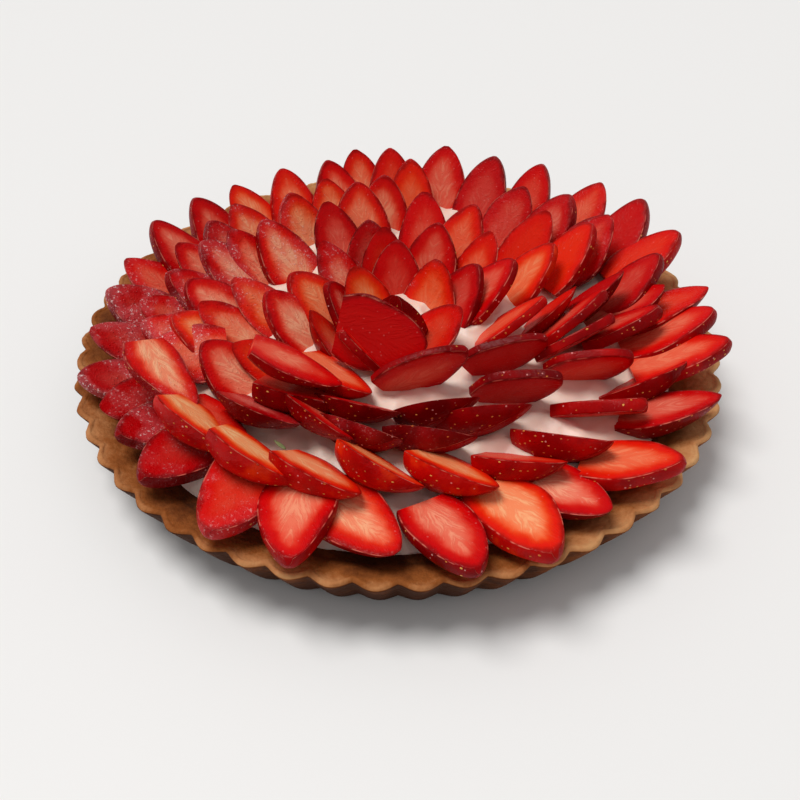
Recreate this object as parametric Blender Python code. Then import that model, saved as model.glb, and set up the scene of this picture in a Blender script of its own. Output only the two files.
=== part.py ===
"""Strawberry tart: a fluted shortcrust shell, its cream filling and a rosette of strawberry slices.

The origin is under the middle of the tart, on the surface it stands on.  +Z is up and the front is -Y.
Azimuths are in degrees, counter-clockwise seen from above, with 0 at +X and 270 at the front.
"""
import math
import random

import bmesh
import bpy
import numpy as np
from mathutils import Matrix, Vector

MM = 0.001

# Crust
CRUST_HEIGHT = 24.0 * MM
RIM_RADIUS = 130.0 * MM
BASE_RADIUS = 116.6 * MM
FLUTES = 55
FLUTE_PHASE = 5.0
CREST_CURVE = 1.2
RIM_FLUTE_DEPTH = 3.0 * MM
BASE_FLUTE_DEPTH = 2.0 * MM
STEPS_PER_FLUTE = 4
LIP_WIDTH = 1.6 * MM
LIP_DROP = 0.6 * MM
CREAM_EDGE_RADIUS = 117.5 * MM
CREAM_EDGE_DROP = 3.4 * MM
FLOOR_RADIUS = 111.0 * MM
FLOOR_THICKNESS = 5.0 * MM

# Cream
GAP = 0.34 * MM
CREAM_CROWN = 4.0 * MM
CREAM_SECTORS = 48
CREAM_RINGS = 6

# Strawberry slices: how the body of a berry narrows towards its two ends
SHOULDER = 0.30
STEM_WIDTH = 0.78
TIP_CURVE = 1.75
TIP_POWER = 0.64
STATIONS = (0.0, 0.36, 0.80)
LAY_SEED = 7
FLAT_SHARE = 0.48
MOST_SLICE_BODIES = 57
MOST_JOINED = 4
LEAST_OVERLAP = 0.4 * MM

# The rings of slices, from the crust inwards.  Each slice has the azimuth and radius of its tip and its
# turn, how far it points away from straight outwards.  Each list of twelve gives a value at azimuths
# 0, 30, 60 ... 330, and a slice takes its own value from between them.
# height: place of the tip above the rim.  pitch: climb towards the tip.  roll: tilt of the cut face to
# the left of the way the slice points.  size: length, width and thickness.  domed: the azimuths of the
# slices that keep the berry's round back; the others are cut on both sides and thinner by FLAT_SHARE.
RINGS = (
    dict(name="outer", size=(38, 26, 10.5),
         domed=(3, 41, 79, 100, 130, 165, 187, 207, 270, 304, 336),
         slices=((3, 126, 10), (18, 127, 8), (30, 127, 4), (41, 124, 3), (56, 124, 2), (67, 121, 0),
                 (79, 124, 0), (87, 112, 0), (92, 124, 0), (100, 124, 0), (107, 121, 0), (118, 122, 0),
                 (130, 122, 0), (141, 122, 0), (153, 123, 0), (165, 121, 0), (175, 121, 0),
                 (187, 122, 0), (198, 127, 0), (207, 122, 4), (215, 122, 2), (226, 126, 6),
                 (242, 130, 12), (255, 131, 14), (270, 120, 40), (281, 132, 19), (292, 133, 8),
                 (304, 125, 19), (319, 130, 22), (336, 129, 22), (348, 130, 14), (356, 126, 14)),
         height=(18, 25, 21, 19, 15, 17, 13, 9, 8, 7, 8, 11),
         pitch=(22, 38, 44, 46, 42, 40, 32, 20, 5, 4, 10, 18),
         roll=(10, 5, 0, 0, 0, 0, 10, 15, 5, 0, 0, 10)),
    dict(name="second", size=(34, 25, 10.5),
         domed=(2, 28, 54, 110, 137, 158, 180, 197, 219, 235, 251, 263, 275, 289, 304, 314, 341),
         slices=((2, 107, 8), (11, 111, 14), (28, 104, 5), (41, 103, 0), (54, 99, 0), (94, 96, 0),
                 (110, 102, 0), (122, 96, 0), (137, 103, 0), (147, 101, 0), (158, 103, 0), (170, 98, 0),
                 (180, 104, -6), (188, 102, -6), (197, 102, -4), (219, 94, 94), (235, 96, 90),
                 (251, 99, 78), (263, 101, 58), (275, 97, 44), (289, 102, 35), (304, 103, 33),
                 (314, 107, 14), (327, 107, 10), (341, 114, 12), (354, 104, 6)),
         height=(21, 26, 21, 19, 17, 19, 16, 12, 10, 12, 12, 13),
         pitch=(32, 42, 46, 48, 46, 42, 32, -12, -20, -2, 12, 28),
         roll=(15, 0, 0, 0, 0, 5, 10, 25, 38, 42, 42, 42)),
    dict(name="third", size=(34, 25, 8.0),
         domed=(5, 40, 81, 115, 149, 172, 184, 203, 243, 258, 271, 290, 308),
         slices=((5, 91, 6), (27, 94, 5), (40, 86, 0), (62, 74, 0), (81, 78, 0), (103, 87, 0),
                 (115, 78, 0), (139, 80, 0), (149, 85, 0), (158, 91, 0), (172, 68, -12), (174, 87, -18),
                 (184, 79, -22), (188, 90, -25), (203, 69, -22), (200, 80, -45), (243, 77, 74), (258, 78, 52),
                 (271, 76, 50), (290, 80, 48), (308, 77, 38), (321, 77, 28), (337, 95, 10),
                 (347, 85, 10), (356, 82, 10)),
         height=(24, 25, 21, 21, 20, 21, 19, 15, 14, 12, 15, 18),
         pitch=(38, 44, 48, 50, 48, 42, 36, 30, 5, 14, 20, 32),
         roll=(30, 5, 0, 0, 0, 5, 10, 20, 35, 50, 56, 64)),
    dict(name="fourth", size=(34, 25, 7.5),
         domed=(4, 47, 132, 246, 270, 297),
         slices=((4, 72, 6), (21, 52, 0), (26, 74, 0), (47, 59, 0), (71, 55, 0), (104, 55, 0),
                 (132, 49, 0), (165, 46, -10), (181, 53, -20), (246, 51, 104), (270, 66, 50),
                 (297, 64, 50), (334, 63, 28), (357, 59, 15)),
         height=(20, 22, 21, 20, 21, 20, 20, 16, 12, 17, 15, 18),
         pitch=(38, 46, 52, 54, 52, 48, 40, 20, -32, 20, 22, 28),
         roll=(30, 5, 0, 0, 0, 5, 10, 20, 18, 45, 50, 72)),
    dict(name="fifth", size=(35, 26, 7.5),
         domed=(98, 201),
         slices=((28, 38, 0), (91, 36, 0), (98, 45, 0), (168, 30, 0), (201, 37, -20), (231, 35, -25),
                 (305, 45, 55)),
         height=(22, 22, 22, 22, 22, 21, 20, 21, 22, 21, 20, 21),
         pitch=(50, 54, 58, 60, 60, 58, 56, 54, 50, 42, 34, 45),
         roll=(10, 0, 0, 0, 0, 0, 0, 0, 5, 40, 76, 40)),
    dict(name="bud", size=(34, 28, 8.0),
         domed=(52, 142, 262, 333),
         slices=((52, 27, 0), (142, 24, 0), (262, 9, 0), (292, 30, 60), (333, 28, 20)),
         height=(22, 22, 22, 22, 22, 22, 23, 24, 27, 25, 14, 22),
         pitch=(60, 62, 64, 64, 64, 64, 64, 70, 78, 72, -30, 50),
         roll=(0, 0, 0, 0, 0, 0, 0, 0, 0, 0, -70, -20)),
    dict(name="under", size=(34, 25, 10.5),
         domed=(233, 250, 258),
         slices=((233, 89, 83), (250, 56, 90), (258, 48, 62)),
         height=(8, 8, 8, 8, 8, 8, 8, 8, 8, 8, 8, 8),
         pitch=(-4, -4, -4, -4, -4, -4, -4, -4, -4, -4, -4, -4),
         roll=(30, 30, 30, 30, 30, 30, 30, 30, 30, 30, 30, 30)),
)
JITTER = dict(height=1.0, pitch=3.0, roll=4.0, turn=4.0, size=0.06)

COLOURS = {
    "crust": (0.52, 0.28, 0.12, 1.0),
    "cream": (0.86, 0.70, 0.60, 1.0),
    "strawberry": (0.55, 0.02, 0.01, 1.0),
}


def clear_scene():
    for thing in list(bpy.data.objects):
        bpy.data.objects.remove(thing, do_unlink=True)


def material(name):
    found = bpy.data.materials.get(name)
    if found:
        return found
    made = bpy.data.materials.new(name)
    made.use_nodes = True
    shader = made.node_tree.nodes["Principled BSDF"]
    shader.inputs["Base Color"].default_value = COLOURS[name]
    return made


def add_object(name, body, slot):
    """Make a bmesh into a named object that faces outwards."""
    bmesh.ops.recalc_face_normals(body, faces=body.faces)
    mesh = bpy.data.meshes.new(name)
    body.to_mesh(mesh)
    body.free()
    thing = bpy.data.objects.new(name, mesh)
    bpy.context.scene.collection.objects.link(thing)
    mesh.materials.append(material(slot))
    return thing


def lathe(rows, sectors, close_bottom=True, close_top=True):
    """Skin a stack of rows, each a function of azimuth that gives a radius and a height."""
    body = bmesh.new()
    loops = []
    for row in rows:
        loop = []
        for step in range(sectors):
            azimuth = math.tau * step / sectors
            radius, height = row(azimuth)
            loop.append(body.verts.new((radius * math.cos(azimuth), radius * math.sin(azimuth), height)))
        loops.append(loop)
    for lower, upper in zip(loops, loops[1:]):
        for step in range(sectors):
            after = (step + 1) % sectors
            body.faces.new((lower[step], lower[after], upper[after], upper[step]))
    for loop, wanted in ((loops[0], close_bottom), (loops[-1], close_top)):
        if wanted:
            body.faces.new(loop)
    return body


# ---------------------------------------------------------------- crust and cream

def flute(azimuth):
    """0 on the crest of a flute and 1 in the groove between two."""
    turn = 0.5 * FLUTES * (azimuth - math.radians(FLUTE_PHASE))
    return 1.0 - abs(math.cos(turn)) ** CREST_CURVE


def crust_row(radius, height, depth):
    def row(azimuth):
        return radius - depth * flute(azimuth), height
    return row


def crust():
    top = CRUST_HEIGHT
    rows = (
        crust_row(BASE_RADIUS - 1.2 * MM, 0.0, BASE_FLUTE_DEPTH),
        crust_row(BASE_RADIUS, 1.2 * MM, BASE_FLUTE_DEPTH),
        crust_row(RIM_RADIUS, top - LIP_DROP, RIM_FLUTE_DEPTH),
        crust_row(RIM_RADIUS - LIP_WIDTH, top, RIM_FLUTE_DEPTH),
        crust_row(CREAM_EDGE_RADIUS, top - CREAM_EDGE_DROP, 0.0),
        crust_row(FLOOR_RADIUS, FLOOR_THICKNESS, 0.0),
    )
    add_object("crust", lathe(rows, FLUTES * STEPS_PER_FLUTE), "crust")


def cream_height(radius):
    """Height of the cream's domed top at this distance from the axis."""
    edge = CRUST_HEIGHT - CREAM_EDGE_DROP
    return edge + CREAM_CROWN * (1.0 - (radius / CREAM_EDGE_RADIUS) ** 2)


def cream():
    edge_radius = CREAM_EDGE_RADIUS - 1.6 * GAP
    rows = [crust_row(FLOOR_RADIUS - 1.6 * GAP, FLOOR_THICKNESS + GAP, 0.0)]
    for ring in range(CREAM_RINGS):
        radius = edge_radius * (1.0 - ring / CREAM_RINGS)
        rows.append(crust_row(radius, cream_height(radius), 0.0))
    add_object("cream", lathe(rows, CREAM_SECTORS), "cream")


# ---------------------------------------------------------------- laying the slices

def around(azimuth, values):
    """Smoothly mix the twelve values that go round the tart."""
    place = (azimuth % 360.0) / 360.0 * len(values)
    before = int(place)
    part = place - before
    part = part * part * (3.0 - 2.0 * part)
    after = (before + 1) % len(values)
    return values[before % len(values)] * (1.0 - part) + values[after] * part


def lay_slices():
    """Work out where each slice lies: its stem end, three directions and its size."""
    chance = random.Random(LAY_SEED)
    upward = Vector((0.0, 0.0, 1.0))
    laid = []
    for ring in RINGS:
        for index, (azimuth, reach, turn) in enumerate(ring["slices"]):
            def value(key):
                return around(azimuth, ring[key]) + chance.uniform(-JITTER[key], JITTER[key])

            height = value("height") * MM + CRUST_HEIGHT
            pitch = math.radians(value("pitch"))
            roll = math.radians(value("roll"))
            heading = math.radians(azimuth + turn + chance.uniform(-JITTER["turn"], JITTER["turn"]))
            grow = [1.0 + chance.uniform(-JITTER["size"], JITTER["size"]) for _ in range(3)]
            length, width, thick = [side * MM * by for side, by in zip(ring["size"], grow)]
            domed = azimuth in ring["domed"]
            if not domed:
                thick *= FLAT_SHARE
            forward = Vector((math.cos(heading), math.sin(heading), 0.0))
            leftward = Vector((-math.sin(heading), math.cos(heading), 0.0))
            along = math.cos(pitch) * forward + math.sin(pitch) * upward
            level = math.cos(pitch) * upward - math.sin(pitch) * forward
            normal = math.cos(roll) * level + math.sin(roll) * leftward
            place = math.radians(azimuth)
            tip = Vector((reach * MM * math.cos(place), reach * MM * math.sin(place), height))
            laid.append(dict(
                name=f"{ring['name']}_{index + 1:02d}", ring=ring["name"],
                stem=tip - length * along, along=along, normal=normal, side=normal.cross(along),
                length=length, half=0.5 * width, thick=thick,
                domed=domed,
            ))
    return laid


def berry_radius(part):
    """Half-width of a whole berry, as a share of its greatest, at this share of its length."""
    if part < SHOULDER:
        return STEM_WIDTH + (1.0 - STEM_WIDTH) * math.sin(0.5 * math.pi * part / SHOULDER)
    past = (part - SHOULDER) / (1.0 - SHOULDER)
    return max(0.0, 1.0 - past ** TIP_CURVE) ** TIP_POWER


def cut_levels(piece):
    """Heights of a slice's two cuts above the berry's axis, and the share of the berry's length it has."""
    if piece["domed"]:
        lower, upper = -piece["half"], piece["thick"] - piece["half"]
    else:
        lower, upper = -0.5 * piece["thick"], 0.5 * piece["thick"]
    tip_level = min(0.0, upper)
    end = 1.0
    while piece["half"] * berry_radius(end) < -tip_level:
        end -= 0.01
    return lower, upper, tip_level, end


def slice_points(piece):
    """Corner points of a slice: a berry cut by two planes, or by one plane where its back is domed."""
    lower, upper, tip_level, end = cut_levels(piece)
    points = []
    for part in STATIONS:
        radius = piece["half"] * berry_radius(part * end)
        low = max(lower, -radius)
        high = min(upper, radius)
        if high <= low:
            continue
        for level in (low, 0.5 * (low + high) if piece["domed"] else 0.0, high):
            wide = math.sqrt(max(0.0, radius * radius - level * level))
            for hand in (-1.0, 1.0):
                points.append((part * piece["length"], hand * wide, level - tip_level))
    points.append((piece["length"], 0.0, 0.0))
    return [
        piece["stem"] + x * piece["along"] + y * piece["side"] + z * piece["normal"]
        for x, y, z in points
    ]


def convex_body(points):
    """A closed convex bmesh round the points."""
    body = bmesh.new()
    for point in points:
        body.verts.new(point)
    bmesh.ops.remove_doubles(body, verts=body.verts, dist=0.05 * MM)
    bmesh.ops.convex_hull(body, input=body.verts)
    loose = [vert for vert in body.verts if not vert.link_faces]
    bmesh.ops.delete(body, geom=loose, context="VERTS")
    bmesh.ops.dissolve_limit(body, angle_limit=math.radians(0.5), verts=body.verts, edges=body.edges)
    bmesh.ops.recalc_face_normals(body, faces=body.faces)
    return body


def cut(body, point, normal):
    """Keep the side of the plane that the normal points away from, and close the cut."""
    geometry = list(body.verts) + list(body.edges) + list(body.faces)
    bmesh.ops.bisect_plane(body, geom=geometry, plane_co=point, plane_no=normal, clear_outer=True)
    points = [vert.co.copy() for vert in body.verts]
    body.free()
    return convex_body(points)


def trim_to_bed(body, piece):
    """Cut away what would sink into the cream or into the crust's rim."""
    middle = piece["stem"] + 0.35 * piece["length"] * piece["along"]
    radius = math.hypot(middle.x, middle.y)
    steep = 2.0 * CREAM_CROWN / CREAM_EDGE_RADIUS ** 2
    downward = Vector((-steep * middle.x, -steep * middle.y, -1.0)).normalized()
    touch = Vector((middle.x, middle.y, cream_height(radius) + GAP))
    body = cut(body, touch, downward)
    if piece["ring"] == "outer":
        far = max((vert.co for vert in body.verts), key=lambda co: math.hypot(co.x, co.y))
        outward = Vector((far.x, far.y, 0.0)).normalized()
        fall = math.radians(12.0)
        down = math.sin(fall) * outward - math.cos(fall) * Vector((0.0, 0.0, 1.0))
        edge = RIM_RADIUS * outward + Vector((0.0, 0.0, CRUST_HEIGHT + 0.6 * MM))
        body = cut(body, edge, down)
    return body


def outlines(body):
    """Corner positions and face directions of a convex body, as arrays."""
    corners = np.array([vert.co for vert in body.verts])
    faces = np.array([face.normal for face in body.faces])
    return corners, faces


def press(first, second):
    """How deep two convex bodies sink into each other, and the direction from first to second."""
    corners_a, faces_a = first
    corners_b, faces_b = second
    directions = np.concatenate((faces_a, -faces_b))
    deepest_a = (corners_a @ directions.T).max(axis=0)
    nearest_b = (corners_b @ directions.T).min(axis=0)
    depth = deepest_a - nearest_b
    least = int(depth.argmin())
    level = 0.5 * (deepest_a[least] + nearest_b[least])
    return depth[least], directions[least], level


def touching_pairs(shapes):
    pairs = []
    centres = [corners.mean(axis=0) for corners, faces in shapes]
    for first in range(len(shapes)):
        for second in range(first + 1, len(shapes)):
            if np.linalg.norm(centres[first] - centres[second]) > 45 * MM:
                continue
            depth, direction, level = press(shapes[first], shapes[second])
            if depth > -GAP:
                pairs.append((float(depth), first, second))
    return sorted(pairs, reverse=True)


def group_of(groups, index):
    return next(group for group in groups if index in group)


def choose_groups(pairs, count):
    """Join slices that lie deepest in each other, up to MOST_JOINED together, until few bodies are left."""
    groups = [{index} for index in range(count)]
    for depth, first, second in pairs:
        if len(groups) <= MOST_SLICE_BODIES:
            break
        one = group_of(groups, first)
        two = group_of(groups, second)
        if one is not two and len(one) + len(two) <= MOST_JOINED and depth > LEAST_OVERLAP:
            groups.remove(two)
            one.update(two)
    return groups


def part_bodies(bodies, pairs, groups):
    """Press neighbours flat against each other, a gap apart, unless they are joined."""
    for depth, first, second in pairs:
        if second in group_of(groups, first):
            continue
        depth, direction, level = press(outlines(bodies[first]), outlines(bodies[second]))
        if depth < -GAP:
            continue
        direction = Vector(direction)
        bodies[first] = cut(bodies[first], direction * (level - 0.5 * GAP), direction)
        bodies[second] = cut(bodies[second], direction * (level + 0.5 * GAP), -direction)


def unite(name, parts):
    """Join overlapping slices into one closed body."""
    thing = add_object(name, parts[0], "strawberry")
    for part in parts[1:]:
        other = add_object("other_slice", part, "strawberry")
        union = thing.modifiers.new("union", "BOOLEAN")
        union.operation = "UNION"
        union.solver = "EXACT"
        union.object = other
        graph = bpy.context.evaluated_depsgraph_get()
        mesh = bpy.data.meshes.new_from_object(thing.evaluated_get(graph))
        thing.modifiers.remove(union)
        thing.data = mesh
        bpy.data.objects.remove(other, do_unlink=True)


def strawberries():
    laid = lay_slices()
    bodies = [trim_to_bed(convex_body(slice_points(piece)), piece) for piece in laid]
    pairs = touching_pairs([outlines(body) for body in bodies])
    groups = choose_groups(pairs, len(laid))
    part_bodies(bodies, pairs, groups)
    for group in groups:
        members = sorted(group)
        names = [laid[index]["name"] for index in members]
        unite("_with_".join(names), [bodies[index] for index in members])


def build():
    clear_scene()
    crust()
    cream()
    strawberries()


build()
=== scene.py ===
"""Looks of the strawberry tart: crust, cream filling, strawberry slices with their seeds, a scrap of
leaf, the floor, the light and the camera."""
import math
import random

import bmesh
import bpy
import numpy as np
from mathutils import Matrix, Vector, noise


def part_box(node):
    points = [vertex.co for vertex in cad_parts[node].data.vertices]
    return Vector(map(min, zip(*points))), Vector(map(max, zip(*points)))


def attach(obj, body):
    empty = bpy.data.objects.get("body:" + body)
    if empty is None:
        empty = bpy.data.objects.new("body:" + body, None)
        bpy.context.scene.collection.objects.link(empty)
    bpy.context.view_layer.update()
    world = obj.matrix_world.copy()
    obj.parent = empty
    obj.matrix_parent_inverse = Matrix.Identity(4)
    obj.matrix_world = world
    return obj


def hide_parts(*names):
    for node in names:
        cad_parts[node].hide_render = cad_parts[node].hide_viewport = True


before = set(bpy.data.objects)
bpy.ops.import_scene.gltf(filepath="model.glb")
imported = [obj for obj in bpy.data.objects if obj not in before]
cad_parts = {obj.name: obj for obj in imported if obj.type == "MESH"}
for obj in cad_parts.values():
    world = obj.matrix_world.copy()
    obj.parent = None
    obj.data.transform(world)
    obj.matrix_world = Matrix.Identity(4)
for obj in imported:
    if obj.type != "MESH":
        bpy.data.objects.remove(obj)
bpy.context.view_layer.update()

MM = 0.001

# ---------------------------------------------------------------- sizes shared with the part

CRUST_LOW, CRUST_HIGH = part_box("crust")
CRUST_HEIGHT = CRUST_HIGH.z
RIM_RADIUS = 0.5 * (CRUST_HIGH.x - CRUST_LOW.x)

# The crust's foot and its flutes: their number, the bearing of one crest in degrees, how sharp the
# grooves between them are, and how deep at the rim and at the foot
BASE_RADIUS = 116.6 * MM
FLUTES = 55
FLUTE_PHASE = 5.0
CREST_CURVE = 1.2
RIM_FLUTE_DEPTH = 3.0 * MM
BASE_FLUTE_DEPTH = 2.0 * MM

# The cream's edge, how far it is below the rim, and the rise to the middle
CREAM_EDGE_RADIUS = 117.5 * MM
CREAM_EDGE_DROP = 3.4 * MM
CREAM_CROWN = 4.0 * MM

# How the body of a berry narrows towards its two ends
SHOULDER = 0.30
STEM_WIDTH = 0.78
TIP_CURVE = 1.75
TIP_POWER = 0.64
# Thickness of a slice cut on both sides, as a share of one that keeps its round back
FLAT_SHARE = 0.48

# The rings of slices, from the crust inwards, and last the slices that lie under the others at the front
# left.  Each slice has the azimuth and radius of its tip and its turn, how far it points away from
# straight outwards.  Each list of twelve gives a value at azimuths 0, 30, 60 ... 330, and a slice takes
# its own value from between them.
# height: place of the tip above the rim.  pitch: climb towards the tip.  roll: tilt of the cut face to
# the left of the way the slice points.  size: length, width and thickness.  domed: the azimuths of the
# slices that keep the berry's round back; the others are cut on both sides and thinner by FLAT_SHARE.
RINGS = (
    dict(name="outer", size=(38, 26, 10.5),
         domed=(3, 41, 79, 100, 130, 165, 187, 207, 270, 304, 336),
         slices=((3, 126, 10), (18, 127, 8), (30, 127, 4), (41, 124, 3), (56, 124, 2), (67, 121, 0),
                 (79, 124, 0), (87, 112, 0), (92, 124, 0), (100, 124, 0), (107, 121, 0), (118, 122, 0),
                 (130, 122, 0), (141, 122, 0), (153, 123, 0), (165, 121, 0), (175, 121, 0),
                 (187, 122, 0), (198, 127, 0), (207, 122, 4), (215, 122, 2), (226, 126, 6),
                 (242, 130, 12), (255, 131, 14), (270, 120, 40), (281, 132, 19), (292, 133, 8),
                 (304, 125, 19), (319, 130, 22), (336, 129, 22), (348, 130, 14), (356, 126, 14)),
         height=(18, 25, 21, 19, 15, 17, 13, 9, 8, 7, 8, 11),
         pitch=(22, 38, 44, 46, 42, 40, 32, 20, 5, 4, 10, 18),
         roll=(10, 5, 0, 0, 0, 0, 10, 15, 5, 0, 0, 10)),
    dict(name="second", size=(34, 25, 10.5),
         domed=(2, 28, 54, 110, 137, 158, 180, 197, 219, 235, 251, 263, 275, 289, 304, 314, 341),
         slices=((2, 107, 8), (11, 111, 14), (28, 104, 5), (41, 103, 0), (54, 99, 0), (94, 96, 0),
                 (110, 102, 0), (122, 96, 0), (137, 103, 0), (147, 101, 0), (158, 103, 0), (170, 98, 0),
                 (180, 104, -6), (188, 102, -6), (197, 102, -4), (219, 94, 94), (235, 96, 90),
                 (251, 99, 78), (263, 101, 58), (275, 97, 44), (289, 102, 35), (304, 103, 33),
                 (314, 107, 14), (327, 107, 10), (341, 114, 12), (354, 104, 6)),
         height=(21, 26, 21, 19, 17, 19, 16, 12, 10, 12, 12, 13),
         pitch=(32, 42, 46, 48, 46, 42, 32, -12, -20, -2, 12, 28),
         roll=(15, 0, 0, 0, 0, 5, 10, 25, 38, 42, 42, 42)),
    dict(name="third", size=(34, 25, 8.0),
         domed=(5, 40, 81, 115, 149, 172, 184, 203, 243, 258, 271, 290, 308),
         slices=((5, 91, 6), (27, 94, 5), (40, 86, 0), (62, 74, 0), (81, 78, 0), (103, 87, 0),
                 (115, 78, 0), (139, 80, 0), (149, 85, 0), (158, 91, 0), (172, 68, -12), (174, 87, -18),
                 (184, 79, -22), (188, 90, -25), (203, 69, -22), (200, 80, -45), (243, 77, 74),
                 (258, 78, 52), (271, 76, 50), (290, 80, 48), (308, 77, 38), (321, 77, 28),
                 (337, 95, 10), (347, 85, 10), (356, 82, 10)),
         height=(24, 25, 21, 21, 20, 21, 19, 15, 14, 12, 15, 18),
         pitch=(38, 44, 48, 50, 48, 42, 36, 30, 5, 14, 20, 32),
         roll=(30, 5, 0, 0, 0, 5, 10, 20, 35, 50, 56, 64)),
    dict(name="fourth", size=(34, 25, 7.5),
         domed=(4, 47, 132, 246, 270, 297),
         slices=((4, 72, 6), (21, 52, 0), (26, 74, 0), (47, 59, 0), (71, 55, 0), (104, 55, 0),
                 (132, 49, 0), (165, 46, -10), (181, 53, -20), (246, 51, 104), (270, 66, 50),
                 (297, 64, 50), (334, 63, 28), (357, 59, 15)),
         height=(20, 22, 21, 20, 21, 20, 20, 16, 12, 17, 15, 18),
         pitch=(38, 46, 52, 54, 52, 48, 40, 20, -32, 20, 22, 28),
         roll=(30, 5, 0, 0, 0, 5, 10, 20, 18, 45, 50, 72)),
    dict(name="fifth", size=(35, 26, 7.5),
         domed=(98, 201),
         slices=((28, 38, 0), (91, 36, 0), (98, 45, 0), (168, 30, 0), (201, 37, -20), (231, 35, -25),
                 (305, 45, 55)),
         height=(22, 22, 22, 22, 22, 21, 20, 21, 22, 21, 20, 21),
         pitch=(50, 54, 58, 60, 60, 58, 56, 54, 50, 42, 34, 45),
         roll=(10, 0, 0, 0, 0, 0, 0, 0, 5, 40, 76, 40)),
    dict(name="bud", size=(34, 28, 8.0),
         domed=(52, 142, 262, 333),
         slices=((52, 27, 0), (142, 24, 0), (262, 9, 0), (292, 30, 60), (333, 28, 20)),
         height=(22, 22, 22, 22, 22, 22, 23, 24, 27, 25, 14, 22),
         pitch=(60, 62, 64, 64, 64, 64, 64, 70, 78, 72, -30, 50),
         roll=(0, 0, 0, 0, 0, 0, 0, 0, 0, 0, -70, -20)),
    dict(name="under", size=(34, 25, 10.5),
         domed=(233, 250, 258),
         slices=((233, 89, 83), (250, 56, 90), (258, 48, 62)),
         height=(8,) * 12,
         pitch=(-4,) * 12,
         roll=(30,) * 12),
)
# How far a slice may differ from what the lists say, in mm, degrees and shares, and the draw's seed
JITTER = dict(height=1.0, pitch=3.0, roll=4.0, turn=4.0, size=0.06)
LAY_SEED = 7


def around(azimuth, values):
    """Smoothly mix the twelve values that go round the tart."""
    place = (azimuth % 360.0) / 360.0 * len(values)
    before = int(place)
    part = place - before
    part = part * part * (3.0 - 2.0 * part)
    after = (before + 1) % len(values)
    return values[before % len(values)] * (1.0 - part) + values[after] * part


def lay_slices():
    """Work out where each slice lies: its stem end, three directions and its size."""
    chance = random.Random(LAY_SEED)
    upward = Vector((0.0, 0.0, 1.0))
    laid = []
    for ring in RINGS:
        for index, (azimuth, reach, turn) in enumerate(ring["slices"]):
            def value(key):
                return around(azimuth, ring[key]) + chance.uniform(-JITTER[key], JITTER[key])

            height = value("height") * MM + CRUST_HEIGHT
            pitch = math.radians(value("pitch"))
            roll = math.radians(value("roll"))
            heading = math.radians(azimuth + turn + chance.uniform(-JITTER["turn"], JITTER["turn"]))
            grow = [1.0 + chance.uniform(-JITTER["size"], JITTER["size"]) for _ in range(3)]
            length, width, thick = [side * MM * by for side, by in zip(ring["size"], grow)]
            domed = azimuth in ring["domed"]
            if not domed:
                thick *= FLAT_SHARE
            forward = Vector((math.cos(heading), math.sin(heading), 0.0))
            leftward = Vector((-math.sin(heading), math.cos(heading), 0.0))
            along = math.cos(pitch) * forward + math.sin(pitch) * upward
            level = math.cos(pitch) * upward - math.sin(pitch) * forward
            normal = math.cos(roll) * level + math.sin(roll) * leftward
            place = math.radians(azimuth)
            tip = Vector((reach * MM * math.cos(place), reach * MM * math.sin(place), height))
            laid.append(dict(
                name=f"{ring['name']}_{index + 1:02d}", ring=ring["name"],
                stem=tip - length * along, along=along, normal=normal, side=normal.cross(along),
                length=length, half=0.5 * width, thick=thick,
                domed=domed,
            ))
    return laid


def berry_radius(part):
    """Half-width of a whole berry, as a share of its greatest, at this share of its length."""
    if part < SHOULDER:
        return STEM_WIDTH + (1.0 - STEM_WIDTH) * math.sin(0.5 * math.pi * part / SHOULDER)
    past = (part - SHOULDER) / (1.0 - SHOULDER)
    return max(0.0, 1.0 - past ** TIP_CURVE) ** TIP_POWER


def cut_levels(piece):
    """Heights of a slice's two cuts above the berry's axis, and the share of the berry's length it has."""
    if piece["domed"]:
        lower, upper = -piece["half"], piece["thick"] - piece["half"]
    else:
        lower, upper = -0.5 * piece["thick"], 0.5 * piece["thick"]
    tip_level = min(0.0, upper)
    end = 1.0
    while piece["half"] * berry_radius(end) < -tip_level:
        end -= 0.01
    return lower, upper, tip_level, end


# ---------------------------------------------------------------- helpers for meshes

def show(name, mesh, nodes=()):
    """Put a finished mesh in the scene as a piece of the tart."""
    thing = bpy.data.objects.new(name, mesh)
    bpy.context.scene.collection.objects.link(thing)
    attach(thing, "root")
    if nodes:
        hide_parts(*nodes)


def grid_faces(rows, columns):
    """Quads between the rows of a grid whose columns close into a ring."""
    faces = []
    for low in range(0, (rows - 1) * columns, columns):
        for column in range(columns):
            after = (column + 1) % columns
            faces.append((low + column, low + after, low + columns + after, low + columns + column))
    return faces


def close_up(mesh):
    """Merge points that fall together, fill what is still open and turn all faces outwards."""
    body = bmesh.new()
    body.from_mesh(mesh)
    bmesh.ops.remove_doubles(body, verts=body.verts, dist=0.001 * MM)
    open_edges = [edge for edge in body.edges if edge.is_boundary]
    if open_edges:
        bmesh.ops.holes_fill(body, edges=open_edges)
    bmesh.ops.recalc_face_normals(body, faces=body.faces)
    body.to_mesh(mesh)
    body.free()


def keep_values(mesh, **values):
    """Keep numbers on a mesh's points under their names."""
    for name, numbers in values.items():
        mesh.attributes.new(name, "FLOAT", "POINT").data.foreach_set("value", numbers)


def ringed_mesh(name, points, columns, finish, **values):
    """A smooth closed mesh of rings of points, one ring after another."""
    mesh = bpy.data.meshes.new(name)
    mesh.from_pydata(points, [], grid_faces(len(points) // columns, columns))
    keep_values(mesh, **values)
    mesh.materials.append(finish)
    close_up(mesh)
    mesh.shade_smooth()
    return mesh


def circle(radius, azimuth, height):
    """Points round the tart's axis."""
    level = np.full(len(azimuth), height)
    return np.stack((radius * np.cos(azimuth), radius * np.sin(azimuth), level), axis=1)


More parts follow.
